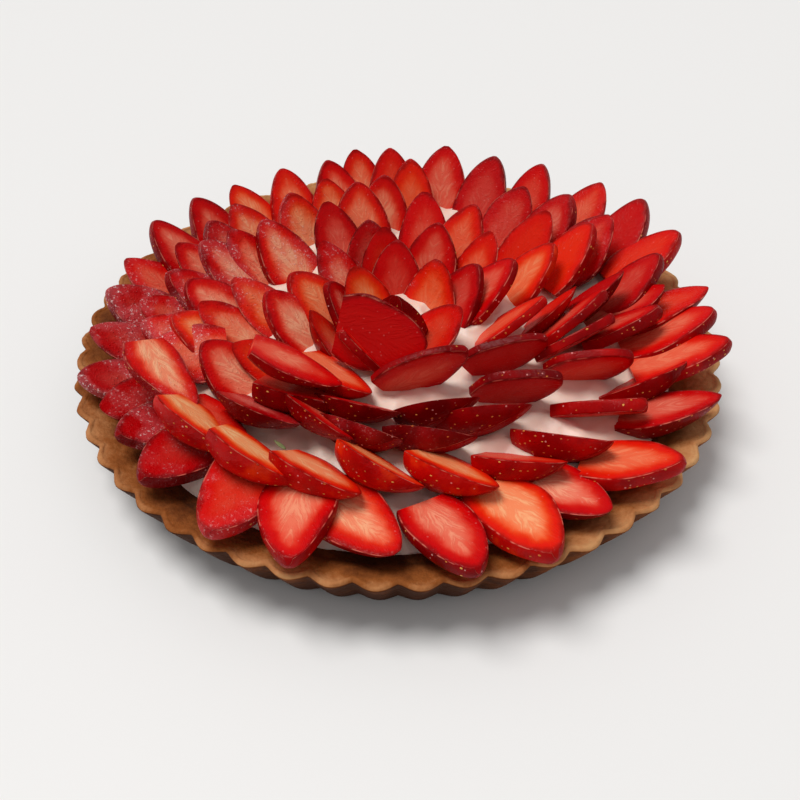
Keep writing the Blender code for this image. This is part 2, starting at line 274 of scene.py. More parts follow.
def rough(points, size, seed):
    """A smooth noise from -1 to 1 at each point; size is the width of its lumps."""
    shift = Vector((seed * 3.7, seed * 1.3, seed * 2.1))
    return np.array([noise.noise(Vector(point) / size + shift) for point in points])


# ---------------------------------------------------------------- helpers for materials

class Finish:
    """A material under construction, with short calls for its nodes."""

    def __init__(self, name):
        self.material = bpy.data.materials.new(name)
        self.material.use_nodes = True
        self.tree = self.material.node_tree
        self.shader = self.tree.nodes["Principled BSDF"]

    def put(self, socket, value):
        """Link an output to a socket, or set its constant."""
        if isinstance(value, bpy.types.NodeSocket):
            self.tree.links.new(value, socket)
        elif value is not None:
            socket.default_value = value

    def set(self, **values):
        """Values of the finish itself."""
        for name, value in values.items():
            self.put(self.shader.inputs[name.replace("_", " ")], value)

    def node(self, kind, inputs=(), **settings):
        made = self.tree.nodes.new(kind)
        for name, value in settings.items():
            setattr(made, name, value)
        for name, value in dict(inputs).items():
            self.put(made.inputs[name], value)
        return made

    def math(self, operation, first, second=None, third=None, clamp=False):
        made = self.node("ShaderNodeMath", operation=operation, use_clamp=clamp)
        for socket, value in zip(made.inputs, (first, second, third)):
            self.put(socket, value)
        return made.outputs[0]

    def times(self, first, second):
        return self.math("MULTIPLY", first, second)

    def scaled(self, amount, by, plus, clamp=False):
        """An amount times another, plus a third."""
        return self.math("MULTIPLY_ADD", amount, by, plus, clamp=clamp)

    def vary(self, value, noise_value, by, clamp=False):
        """A value moved up and down by a noise whose middle is 0.5."""
        return self.scaled(self.math("SUBTRACT", noise_value, 0.5), by, value, clamp=clamp)

    def mix(self, amount, first, second, blend="MIX"):
        """From the first colour to the second as the amount goes from 0 to 1."""
        made = self.node("ShaderNodeMix", data_type="RGBA", blend_type=blend)
        self.put(made.inputs[0], amount)
        self.put(made.inputs[6], first)
        self.put(made.inputs[7], second)
        return made.outputs[2]

    def ramp(self, amount, stops, smooth=False):
        """Colours or shares at places from 0 to 1, with a straight or a smooth change between them."""
        made = self.node("ShaderNodeValToRGB", inputs={"Fac": amount})
        band = made.color_ramp
        band.interpolation = "EASE" if smooth else "LINEAR"
        while len(band.elements) < len(stops):
            band.elements.new(1.0)
        for element, (place, shade) in zip(band.elements, stops):
            element.position = place
            element.color = (*shade, 1.0) if isinstance(shade, tuple) else (shade, shade, shade, 1.0)
        return made.outputs["Color"]

    def fade(self, amount, start, end, rising=True):
        """0 up to start and 1 from end, smooth between them; the other way round if it isn't rising."""
        low, high = (0.0, 1.0) if rising else (1.0, 0.0)
        return self.ramp(amount, ((start, low), (end, high)), smooth=True)

    def place(self, layer=None):
        """Coordinates on the piece: its own space, or one of its UV layers."""
        if layer:
            return self.node("ShaderNodeUVMap", uv_map=layer).outputs["UV"]
        return self.node("ShaderNodeTexCoord").outputs["Object"]

    def lumps(self, where, scale, detail=2.0, roughness=0.5):
        """Soft lumps, from 0 to 1; the scale is about how many lie side by side in a metre."""
        made = self.node("ShaderNodeTexNoise", inputs={
            "Vector": where, "Scale": scale, "Detail": detail, "Roughness": roughness})
        return made.outputs["Fac"]

    def cells(self, where, scale, randomness=1.0):
        """Distance from the nearest of many scattered points."""
        made = self.node("ShaderNodeTexVoronoi", inputs={
            "Vector": where, "Scale": scale, "Randomness": randomness})
        return made.outputs["Distance"]

    def value(self, name):
        """A value kept on the piece's points."""
        return self.node("ShaderNodeAttribute", attribute_name=name).outputs["Fac"]

    def bump(self, height, distance, strength):
        made = self.node("ShaderNodeBump", inputs={
            "Height": height, "Distance": distance, "Strength": strength})
        return made.outputs["Normal"]


# ---------------------------------------------------------------- finishes

def baked_crust():
    """Shortcrust: sandy, darker towards the foot and in the grooves, where it is painted shade, and pale
    along the rim's edge.  The value kept on the mesh is how dark each point is, from its baked brown and
    from painted shade."""
    crust = Finish("baked_crust")
    where = crust.place()
    toast = crust.value("toast")
    brown = crust.lumps(where, 30.0, detail=4.0)
    fleck = crust.lumps(where, 280.0, detail=3.0, roughness=0.7)
    grain = crust.lumps(where, 900.0, detail=3.0, roughness=0.7)
    crumb = crust.cells(where, 420.0)
    shade = crust.vary(crust.vary(toast, brown, 0.9), fleck, 0.45)
    colour = crust.ramp(shade, (
        (0.00, (0.62, 0.33, 0.14)),
        (0.28, (0.50, 0.21, 0.078)),
        (0.52, (0.29, 0.086, 0.018)),
        (0.78, (0.13, 0.033, 0.006)),
        (1.00, (0.050, 0.013, 0.003)),
    ))
    relief = crust.scaled(crumb, -0.5, crust.scaled(grain, 0.35, fleck))
    crust.set(Base_Color=colour, Roughness=0.75, Specular_IOR_Level=0.12,
              Normal=crust.bump(relief, 0.6 * MM, strength=0.9))
    return crust.material


def whipped_cream():
    """Soft cream filling, tinted by berry juice here and there."""
    cream = Finish("whipped_cream")
    where = cream.place()
    stain = cream.lumps(where, 40.0, detail=3.0)
    pores = cream.lumps(where, 420.0, detail=3.0)
    colour = cream.ramp(stain, (
        (0.30, (0.83, 0.52, 0.42)),
        (0.47, (0.88, 0.68, 0.57)),
        (0.70, (0.92, 0.80, 0.70)),
    ))
    cream.set(Base_Color=colour, Roughness=0.42, Normal=cream.bump(pores, 0.25 * MM, strength=0.6),
              Subsurface_Weight=0.2, Subsurface_Scale=3 * MM, Subsurface_Radius=(1.0, 0.6, 0.4))
    return cream.material


def fibre_streaks(berry, cut_map, where, warm):
    """Fine pale lines on a cut face, that fan out from the middle towards the skin.  The cut map has the
    place along and across the slice in mm."""
    axes = berry.node("ShaderNodeSeparateXYZ", inputs={"Vector": cut_map})
    along, across = axes.outputs["X"], berry.math("ABSOLUTE", axes.outputs["Y"])
    sway = berry.times(berry.lumps(where, 130.0, detail=2.0), 5.0)
    fan = berry.math("ADD", berry.scaled(along, -0.36, across), sway)
    place = berry.node("ShaderNodeCombineXYZ", inputs={
        "X": berry.times(fan, 0.75), "Y": berry.times(along, 0.10), "Z": berry.times(warm, 9.0)})
    fibres = berry.lumps(place.outputs[0], 1.0, detail=4.0, roughness=0.65)
    return berry.fade(fibres, 0.45, 0.63)


def flesh_colour(berry, streak, where, warm, pale):
    """Colour of a cut face: a dark edge, red flesh, and a glow and a pale heart towards the middle."""
    blotch = berry.lumps(where, 120.0, detail=3.0)
    drift = berry.vary(berry.value("depth"), blotch, 0.5)
    red = berry.ramp(warm, (
        (0.0, (0.44, 0.0003, 0.0020)),
        (0.5, (0.64, 0.0006, 0.0016)),
        (1.0, (0.84, 0.014, 0.0020)),
    ))
    glow = berry.ramp(warm, (
        (0.0, (0.62, 0.004, 0.006)),
        (0.5, (0.90, 0.036, 0.011)),
        (1.0, (0.98, 0.130, 0.009)),
    ))
    heart = berry.ramp(warm, (
        (0.0, (1.00, 0.40, 0.29)),
        (1.0, (1.00, 0.54, 0.25)),
    ))
    # The cut face's dark edge next to the skin is partly the flesh's own deeper red and partly painted
    # shade in the gaps between slices.
    edge = berry.mix(1.0, red, (0.50, 0.35, 0.8, 1.0), "MULTIPLY")
    glowing = berry.times(berry.fade(drift, 0.20, 0.65), berry.scaled(pale, 0.8, 0.15, clamp=True))
    hearty = berry.times(berry.times(berry.fade(drift, 0.36, 0.86), pale), berry.scaled(streak, 0.5, 0.55))
    flesh = berry.mix(berry.fade(drift, 0.00, 0.22), edge, red)
    return berry.mix(hearty, berry.mix(glowing, flesh, glow), heart)


def peel_colour(berry, patches, warm):
    """Colour of the skin: crimson, with patches nearer to orange red on the warmer berries."""
    ripe = berry.vary(berry.times(warm, 0.72), patches, 1.3, clamp=True)
    # The skin's crimson is kept deep, partly as the berry's own colour and partly as painted shade on the
    # slices' rounded undersides and in the gaps between them.
    return berry.ramp(ripe, (
        (0.0, (0.16, 0.0001, 0.0010)),
        (0.4, (0.33, 0.0003, 0.0013)),
        (0.75, (0.56, 0.003, 0.0016)),
        (1.0, (0.84, 0.042, 0.003)),
    ))


def painted_glaze_highlights(berry, colour, where, skin, wet):
    """The berry's colour with painted highlights of its glaze: patches of painted pink sheen with painted
    sparkle, painted highlights along the cut edges and small painted glints.
    """
    # Painted sheen: patches on the wetter slices tinted pink, standing in for the glaze's reflection.
    patch = berry.fade(berry.lumps(where, 80.0, detail=2.0), 0.42, 0.60)
    sheen_patches = berry.times(patch, berry.ramp(wet, ((0.35, 0.0), (0.85, 1.0))))
    colour = berry.mix(berry.times(sheen_patches, 0.45), colour, (0.66, 0.10, 0.11, 1.0))
    # Painted sparkle: near-white specks inside the painted sheen patches.
    sparkle_noise = berry.lumps(where, 760.0, detail=4.0, roughness=0.8)
    colour = berry.mix(berry.times(berry.fade(sparkle_noise, 0.56, 0.66), sheen_patches), colour, (0.98, 0.80, 0.78, 1.0))
    # Painted highlight: a bright orange-red band along the edges between skin and cut, broken into specks.
    highlight_band = berry.times(berry.times(skin, berry.math("SUBTRACT", 1.0, skin)), 2.4)
    broken = berry.fade(berry.lumps(where, 240.0, detail=3.0), 0.42, 0.60)
    colour = berry.mix(berry.times(highlight_band, broken), colour, (1.0, 0.26, 0.18, 1.0))
    # Painted glints: small bright spots, stronger on the skin than on the cuts.
    glint_spots = berry.fade(berry.cells(where, 300.0), 0.07, 0.13, rising=False)
    return berry.mix(berry.times(glint_spots, berry.scaled(skin, 0.50, 0.12)), colour, (1.0, 0.50, 0.46, 1.0))


def berry_relief(berry, streak, where, skin, wet):
    """Fine relief: a film of juice, beads of glaze, a dimple round each place for a seed, and fibres."""
    film = berry.lumps(where, 330.0, detail=4.0, roughness=0.7)
    fine = berry.lumps(where, 1500.0, detail=2.0, roughness=0.6)
    beads = berry.fade(berry.cells(where, 620.0), 0.05, 0.30, rising=False)
    hollow = berry.fade(berry.cells(berry.place("skin"), 1.0, randomness=0.0), 0.10, 0.40)
    relief = berry.times(film, berry.scaled(wet, 1.7, 0.35))
    relief = berry.scaled(fine, berry.scaled(wet, 0.55, 0.10), relief)
    relief = berry.scaled(beads, berry.scaled(wet, 0.6, 0.12), relief)
    relief = berry.scaled(berry.times(hollow, skin), 1.3, relief)
    return berry.scaled(streak, 0.22, relief)


def cut_strawberry():
    """Cut faces run from red flesh to a pale heart with fine streaks; the skin is glossy, with painted
    sheen, sparkle, edge highlights and glints on top.  Each slice has its own values for paleness, warmth
    and wetness with painted sheen, and each point says if it is skin."""
    berry = Finish("cut_strawberry")
    skin, pale, warm, wet = (berry.value(name) for name in ("skin", "pale", "warm", "wet"))
    where = berry.place()
    patches = berry.lumps(where, 85.0, detail=3.0)
    streak = fibre_streaks(berry, berry.place("cut"), where, warm)
    flesh = flesh_colour(berry, streak, where, warm, pale)
    colour = berry.mix(skin, flesh, peel_colour(berry, patches, warm))
    normal = berry.bump(berry_relief(berry, streak, where, skin, wet), 0.40 * MM, strength=0.85)
    berry.set(Base_Color=painted_glaze_highlights(berry, colour, where, skin, wet),
              Roughness=berry.scaled(patches, 0.30, 0.22), Normal=normal, Specular_IOR_Level=0.06,
              Coat_Weight=0.06, Coat_Roughness=0.08, Coat_Normal=normal)
    return berry.material


def seed_husk():
    """Seeds from brown red to straw yellow."""
    seed = Finish("strawberry_seed")
    tint = seed.lumps(seed.place(), 160.0)
    colour = seed.ramp(tint, (
        (0.38, (0.40, 0.030, 0.006)),
        (0.52, (0.62, 0.160, 0.022)),
        (0.66, (0.84, 0.44, 0.09)),
    ))
    seed.set(Base_Color=colour, Roughness=0.28, Specular_IOR_Level=0.3)
    return seed.material


def leaf_green():
    """Dull green of a sepal, a little uneven."""
    leaf = Finish("sepal_green")
    veins = leaf.lumps(leaf.place(), 700.0, detail=2.0)
    leaf.set(Base_Color=leaf.mix(veins, (0.07, 0.10, 0.02, 1.0), (0.20, 0.20, 0.06, 1.0)), Roughness=0.5)
    return leaf.material


# ---------------------------------------------------------------- crust

# Steps up the wall, over the lip and along the shelf inside it, and round each flute
WALL_STEPS, LIP_STEPS, SHELF_STEPS = 14, 8, 9
COLUMNS_PER_FLUTE = 12
FOOT_INSET = 1.2 * MM
LIP_HEIGHT, LIP_WIDTH = 1.2 * MM, 1.3 * MM
SHELF_INSET, SHELF_WIDTH = 2.8 * MM, 9.4 * MM

# How dark the crust is, 0 pale and 1 darkest: its baked brown along its profile, with painted shade on the
# wall, at the wall's foot, at the shelf's inner end, inside next to the cream and in grooves, browner on
# lumps, and painted shade on one side with painted light on the far side
FLOOR_TOAST, WALL_TOAST_AND_SHADE, LIP_TOAST, SHELF_TOAST, INSIDE_TOAST_AND_SHADE = 0.50, 0.72, 0.16, 0.26, 0.66
FOOT_SHADE, SHELF_END_SHADE, GROOVE_SHADE, LUMP_TOAST = 0.14, 0.22, 0.14, 0.16
# Painted shade on the crust's front-left side, at this bearing, and how much; the start value takes it
# below zero on the far side, which is painted light.
SHADED_SIDE = math.radians(215.0)
SIDE_SHADE, SIDE_SHADE_START = 0.48, -0.23

# Unevenness of the dough above the foot; the crust's top is uneven from ROUGH_RADIUS outwards
LUMP_SIZE, LUMP_HEIGHT = 9 * MM, 0.65 * MM
CRUMB_SIZE, CRUMB_HEIGHT = 2.2 * MM, 0.30 * MM
SWELL_OUTWARDS = 0.6
SMOOTH_FOOT = 2 * MM
ROUGH_RADIUS, ROUGH_BAND = 110 * MM, 10 * MM


def flute(azimuth):
    """0 on the crest of a flute and 1 in the groove between two."""
    turn = 0.5 * FLUTES * (azimuth - math.radians(FLUTE_PHASE))
    return 1.0 - np.abs(np.cos(turn)) ** CREST_CURVE


def crust_profile():
    """Radius, height, share of flute depth and darkness down the crust, baked brown with painted shade on
    the wall, at its foot, at the shelf's inner end and inside: from the axis underneath, up the outside,
    over the lip, and by way of the shelf down to where the cream hides it."""
    top = CRUST_HEIGHT
    rows = [(radius * MM, 0.0, 0.0, FLOOR_TOAST) for radius in (0.0, 30.0, 60.0, 90.0, 110.0)]
    for step in range(WALL_STEPS + 1):
        rise = step / WALL_STEPS
        radius = BASE_RADIUS + (RIM_RADIUS - BASE_RADIUS) * rise ** 0.9
        inset = FOOT_INSET * max(0.0, 1.0 - 8.0 * rise) ** 2
        depth = BASE_FLUTE_DEPTH + (RIM_FLUTE_DEPTH - BASE_FLUTE_DEPTH) * rise
        rows.append((radius - inset, rise * (top - LIP_HEIGHT), depth / RIM_FLUTE_DEPTH,
                     WALL_TOAST_AND_SHADE + FOOT_SHADE * (1 - rise)))
    for turn in range(1, LIP_STEPS):
        angle = math.pi * turn / LIP_STEPS
        rows.append((RIM_RADIUS - LIP_WIDTH + LIP_WIDTH * math.cos(angle),
                     top - LIP_HEIGHT + LIP_HEIGHT * math.sin(angle), 1.0, LIP_TOAST))
    for step in range(1, SHELF_STEPS + 1):
        part = step / SHELF_STEPS
        drop = 0.5 * MM + 1.5 * MM * part ** 0.7 + 1.6 * MM * part ** 3
        rows.append((RIM_RADIUS - SHELF_INSET - part * SHELF_WIDTH, top - drop, (1.0 - part) ** 1.5,
                     SHELF_TOAST + SHELF_END_SHADE * part))
    for inwards, down in ((1.2, 4.4), (3.8, 4.9), (6.0, 5.6), (7.2, 7.0), (7.6, 11.0)):
        rows.append((CREAM_EDGE_RADIUS - inwards * MM, top - down * MM, 0.0, INSIDE_TOAST_AND_SHADE))
    return rows


def crust_mesh(finish):
    """The profile turned round the axis with its flutes, then lumpy and crumbly above the foot."""
    columns = FLUTES * COLUMNS_PER_FLUTE
    azimuth = math.tau * np.arange(columns) / columns
    # Painted shade towards the front left of the crust, fading to painted light at the back right.
    side_shade = 0.5 + 0.5 * np.cos(azimuth - SHADED_SIDE)
    rings, toast = [], []
    for radius, height, fluted, browning_and_shade in crust_profile():
        groove = fluted * flute(azimuth)
        rings.append(circle(radius - RIM_FLUTE_DEPTH * groove, azimuth, height))
        # Darkness: baked brown and painted shade from the profile, painted shade in the grooves, and the
        # side's painted shade and light.
        toast.append(browning_and_shade + GROOVE_SHADE * groove + SIDE_SHADE * side_shade + SIDE_SHADE_START)
    points = np.concatenate(rings)
    radius = np.hypot(points[:, 0], points[:, 1])
    lump = rough(points, LUMP_SIZE, 1.0)
    crumb = rough(points, CRUMB_SIZE, 2.0)
    above = np.clip(points[:, 2] / SMOOTH_FOOT, 0.0, 1.0)
    swell = above * (LUMP_HEIGHT * lump + CRUMB_HEIGHT * crumb)
    points[:, 2] += swell * np.clip((radius - ROUGH_RADIUS) / ROUGH_BAND, 0.0, 1.0)
    points[:, :2] *= (1.0 + SWELL_OUTWARDS * swell / np.maximum(radius, 1 * MM))[:, None]
    toast = np.concatenate(toast) + LUMP_TOAST * lump
    return ringed_mesh("crust_shell", points.tolist(), columns, finish, toast=toast)


# ---------------------------------------------------------------- cream

CREAM_RINGS, CREAM_SECTORS = 84, 300
# How far the cream goes on into the crust, and down behind its edge
CREAM_OVERLAP = 0.4 * MM
CREAM_SKIRT = 6 * MM
# Its swirls and ripples, which fade out over EDGE_BAND
SWIRL_SIZE, SWIRL_HEIGHT = 12 * MM, 1.4 * MM
RIPPLE_SIZE, RIPPLE_HEIGHT = 4.5 * MM, 0.8 * MM
EDGE_BAND = 8 * MM
# The ring of cream that each slice pushes up round itself; several rings together count PUSH_MOST times
PUSH_RADIUS, PUSH_WIDTH, PUSH_HEIGHT = 12 * MM, 4 * MM, 1.3 * MM
PUSH_MOST = 2.0
# Near the crust the cream sinks
SINK_RADIUS, SINK_BAND, SINK_DEPTH = 103 * MM, 8 * MM, 4.2 * MM


def cream_height(radius):
    """Height of the cream's smooth dome."""
    edge = CRUST_HEIGHT - CREAM_EDGE_DROP
    return edge + CREAM_CROWN * (1.0 - (radius / CREAM_EDGE_RADIUS) ** 2)


def cream_mesh(laid, finish):
    """The dome with soft swirls, pushed up round each slice, lower near the crust, and a skirt below."""
    azimuth = math.tau * np.arange(CREAM_SECTORS) / CREAM_SECTORS
    spread = [(CREAM_EDGE_RADIUS + CREAM_OVERLAP) * ring / CREAM_RINGS for ring in range(CREAM_RINGS + 1)]
    points = np.concatenate([circle(radius, azimuth, cream_height(radius)) for radius in spread])
    radius = np.hypot(points[:, 0], points[:, 1])
    swirl = rough(points, SWIRL_SIZE, 4.0)
    ripple = rough(points, RIPPLE_SIZE, 5.0)
    pushed = np.zeros(len(points))
    for piece in laid:
        middle = piece["stem"] + 0.3 * piece["length"] * piece["along"]
        away = np.hypot(points[:, 0] - middle.x, points[:, 1] - middle.y)
        pushed += np.exp(-((away - PUSH_RADIUS) / PUSH_WIDTH) ** 2)
    pushed = np.minimum(pushed, PUSH_MOST)
    inside = np.clip((CREAM_EDGE_RADIUS - radius) / EDGE_BAND, 0.0, 1.0)
    points[:, 2] -= SINK_DEPTH * np.clip((radius - SINK_RADIUS) / SINK_BAND, 0.0, 1.0) ** 2
    points[:, 2] += inside * (SWIRL_HEIGHT * swirl + RIPPLE_HEIGHT * ripple + PUSH_HEIGHT * pushed)
    points = np.concatenate((points, points[-CREAM_SECTORS:] - np.array((0.0, 0.0, CREAM_SKIRT))))
    return ringed_mesh("cream_top", points.tolist(), CREAM_SECTORS, finish)


# ---------------------------------------------------------------- strawberry slices

# Steps along a slice, across each of its faces and down each of its sides
STATIONS = 28
FACE_STEPS = 10
SIDE_STEPS = 7
# Shares of the stem end's size for the rings that close it
STEM_SHARES = (0.0, 0.3, 0.6, 0.92)
# Rounding of the cuts' edges, radius left at the tip, and the depth under the skin that counts as 1
EDGE_SOFTNESS = 0.45 * MM
TIP_RADIUS = 0.05 * MM
DEEPEST = 10 * MM
SHARP_EDGE = math.radians(62.0)

# Seeds: how far apart, how long, their form and range of sizes, how deep they sit, how near to a cut and
# how far up the tip they go, and the share that has come off
SEED_PITCH = 2.3 * MM
SEED_LENGTH = 1.1 * MM
SEED_FORM = (1.0, 0.62, 0.42)
SEED_SIZES = (0.75, 1.2)
SEED_SINK = 0.12 * MM
SEED_MARGIN = 0.5 * MM
SEED_TIP_RADIUS = 1.5 * MM
SEEDS_LOST = 0.42

# How the berries of each ring look at azimuths 0, 30, 60 ... 330.  pale: how light the core of the cut
# face is.  warm: 0 for crimson and 1 for orange red.  wetness: how uneven the glaze's relief is, and how
# much painted sheen and painted sparkle the slice gets.
LOOKS = dict(
    outer=dict(pale=(0.15, 0.1, 0.1, 0.3, 0.5, 0.5, 0.2, 0.2, 0.3, 0.8, 0.65, 0.25),
               warm=(0.5, 0.35, 0.4, 0.7, 0.55, 0.6, 0.15, 0.05, 0.25, 0.55, 0.6, 0.5),
               wet=(0.1, 0.2, 0.2, 0.1, 0.1, 0.3, 1.0, 0.7, 0.4, 0.2, 0.1, 0.1)),
    second=dict(pale=(0.1, 0.1, 0.2, 0.4, 0.7, 0.6, 0.3, 0.7, 0.95, 0.7, 0.3, 0.15),
                warm=(0.2, 0.3, 0.45, 0.6, 0.5, 0.5, 0.35, 0.5, 0.9, 1.0, 0.6, 0.7),
                wet=(0.2, 0.3, 0.4, 0.1, 0.5, 0.5, 0.9, 0.5, 0.2, 0.1, 0.3, 0.3)),
    third=dict(pale=(0.05, 0.15, 0.2, 0.4, 0.6, 1.0, 0.9, 0.5, 0.3, 0.1, 0.1, 0.05),
               warm=(0.4, 0.6, 0.65, 0.6, 0.5, 0.35, 0.65, 0.6, 0.2, 0.35, 0.3, 0.4),
               wet=(0.2, 0.2, 0.2, 0.2, 0.4, 0.8, 0.4, 0.2, 0.3, 0.4, 0.3, 0.3)),
    fourth=dict(pale=(0.1, 0.15, 0.2, 0.2, 0.5, 0.8, 0.95, 0.8, 0.6, 0.1, 0.1, 0.1),
                warm=(0.5, 0.65, 0.55, 0.3, 0.65, 0.6, 0.6, 0.6, 0.5, 0.3, 0.35, 0.45),
                wet=(0.1, 0.2, 0.2, 0.3, 0.4, 0.5, 0.3, 0.2, 0.2, 0.4, 0.2, 0.2)),
    fifth=dict(pale=(0.1, 0.1, 0.1, 0.2, 0.4, 0.3, 0.3, 0.2, 0.1, 0.1, 0.2, 0.1),
               warm=(0.35, 0.3, 0.5, 0.4, 0.5, 0.3, 0.6, 0.5, 0.3, 0.4, 0.6, 0.4),
               wet=(0.2, 0.2, 0.2, 0.2, 0.3, 0.4, 0.2, 0.1, 0.1, 0.2, 0.2, 0.3)),
    bud=dict(pale=(0.1, 0.2, 0.3, 0.3, 0.6, 0.95, 0.6, 0.2, 0.1, 0.1, 0.05, 0.1),
             warm=(0.45, 0.7, 0.9, 0.9, 1.0, 1.0, 0.8, 0.6, 0.6, 0.5, 0.45, 0.4),
             wet=(0.3, 0.3, 0.3, 0.2, 0.1, 0.1, 0.1, 0.1, 0.1, 0.2, 0.1, 0.3)),
    under=dict(pale=(0.2,) * 12, warm=(0.5,) * 12, wet=(0.3,) * 12),
)
LOOK_SPREAD = dict(pale=0.25, warm=0.32, wet=0.15)


def section(radius, low, high):
    """Points round one cross-section of a berry slice: over the upper cut, down one side, back along the
    lower cut and up the other side, with the cuts' edges softened.  Each point is its place across and
    up, 1 on skin or 0 on a cut, and its angle round the berry."""
    high = min(high, 0.998 * radius)
    low = min(max(low, -0.998 * radius), high - 0.02 * MM)
    soft = min(EDGE_SOFTNESS, 0.3 * (high - low))
    upper = math.asin(max(-1.0, min(1.0, (high - soft) / radius)))
    lower = math.asin(max(-1.0, min(1.0, (low + soft) / radius)))
    points = []
    for step in range(FACE_STEPS):
        share = -math.cos(math.pi * step / FACE_STEPS)
        angle = (math.pi - upper) + (upper - 0.5 * math.pi) * (share + 1.0)
        points.append((share * radius * math.cos(upper), high - soft + soft * math.sqrt(1.0 - share ** 8),
                       0.0 if step else 1.0, angle))
    for step in range(SIDE_STEPS):
        angle = upper + (lower - upper) * step / SIDE_STEPS
        points.append((radius * math.cos(angle), radius * math.sin(angle), 1.0, angle))
    for step in range(FACE_STEPS):
        share = math.cos(math.pi * step / FACE_STEPS)
        angle = lower - (lower + 0.5 * math.pi) * (1.0 - share)
        points.append((share * radius * math.cos(lower), low + soft - soft * math.sqrt(1.0 - share ** 8),
                       0.0 if step else 1.0, angle))
    for step in range(SIDE_STEPS):
        angle = (-math.pi - lower) + (lower - upper) * step / SIDE_STEPS
        points.append((radius * math.cos(angle), radius * math.sin(angle), 1.0, angle))
    return points


def slice_form(piece):
    """What makes one slice differ from a perfect cut berry: its cuts, its bends and how ripe it is."""
    chance = random.Random(piece["name"])
    low, high, tip_level, end = cut_levels(piece)
    tip = piece["stem"] + piece["length"] * piece["along"]
    azimuth = math.degrees(math.atan2(tip.y, tip.x))
    form = dict(low=low, high=high, tip_level=tip_level, end=end,
                bend=chance.uniform(-0.8, 1.6) * MM, skew=chance.uniform(-1.4, 1.4) * MM,
                wedge=chance.uniform(-0.08, 0.08), pucker=chance.uniform(0.0, 0.7) * MM,
                waves=[(chance.uniform(0.0, math.tau), chance.uniform(0.0, 0.04)) for _ in range(3)])
    for key, spread in LOOK_SPREAD.items():
        value = around(azimuth, LOOKS[piece["ring"]][key]) + chance.uniform(-spread, spread)
        form[key] = min(1.0, max(0.0, value))
    return form


def settle(piece, form, part, y, z, angle):
    """Where a point of the perfect cut berry ends up once the slice has its own bends."""
    lump = 1.0 + sum(depth * math.sin(phase + (number + 1) * (angle + 3.0 * part))
                     for number, (phase, depth) in enumerate(form["waves"]))
    across = y / piece["half"]
    sideways = y * lump + form["skew"] * math.sin(math.pi * part)
    lift = (form["wedge"] * y + form["bend"] * (part ** 2 - 1.0)
            - form["pucker"] * (1.0 - across ** 2) * (1 - part))
    place = Vector((part * piece["length"], sideways, z - form["tip_level"] + lift))
    return piece["stem"] + place.x * piece["along"] + place.y * piece["side"] + place.z * piece["normal"]


def slice_rows(piece, form):
    """Rings of points from the stem end to the tip.  Each point has its place, 1 for skin or 0 for a cut,
    its depth under the skin, its place on the cut map in mm, and its place on the skin map, whose whole
    numbers are the places for seeds."""
    rows = []
    for station in range(STATIONS + 1):
        part = math.sin(0.5 * math.pi * station / STATIONS) ** 1.15
        radius = max(piece["half"] * berry_radius(part * form["end"]), TIP_RADIUS)
        ring = []
        for y, z, peel, angle in section(radius, form["low"], form["high"]):
            under = max(0.0, radius - math.hypot(y, z)) / DEEPEST
            u = part * piece["length"] / SEED_PITCH
            v = angle * radius / SEED_PITCH
            cut = (part * piece["length"] / MM, y / MM)
            ring.append((settle(piece, form, part, y, z, angle), peel, under, cut,
                         (0.5 * (u + v), 0.5 * (u - v))))
        rows.append(ring)
    return rows


def stem_rings(first):
    """Rings that close the flat stem end towards its middle."""
    middle = sum((point[0] for point in first), Vector()) / len(first)
    return [[(middle.lerp(place, share), 0.0, under + 0.5 * (1.0 - share), (cut[0], cut[1] * share), skin)
             for place, _, under, cut, skin in first]
            for share in STEM_SHARES]


def slice_shape(piece, form):
    """Mesh of one slice, in place, as lists."""
    rows = slice_rows(piece, form)
    rows = stem_rings(rows[0]) + rows
    flat = [point for row in rows for point in row]
    shape = dict(zip(("points", "skin", "depth", "cut_map", "skin_map"), zip(*flat)))
    shape.update((key, (form[key],) * len(flat)) for key in LOOK_SPREAD)
    shape["faces"] = grid_faces(len(rows), len(rows[0]))
    return shape


def slices_mesh(name, shapes, finish):
    """One mesh of the slices that belong to one node."""
    whole = {key: [] for key in shapes[0]}
    for shape in shapes:
        start = len(whole["points"])
        for key, values in shape.items():
            if key == "faces":
                values = [tuple(start + corner for corner in face) for face in values]
            whole[key] += values
    mesh = bpy.data.meshes.new(name)
    mesh.from_pydata(whole["points"], [], whole["faces"])
    keep_values(mesh, **{key: whole[key] for key in ("skin", "depth", *LOOK_SPREAD)})
    corners = np.zeros(len(mesh.loops), dtype=int)
    mesh.loops.foreach_get("vertex_index", corners)
    for layer in ("cut", "skin"):
        places = np.array(whole[layer + "_map"])[corners]
        mesh.uv_layers.new(name=layer).data.foreach_set("uv", places.ravel())
    mesh.materials.append(finish)
    close_up(mesh)
    mesh.shade_smooth()
    mesh.set_sharp_from_angle(angle=SHARP_EDGE)
    return mesh


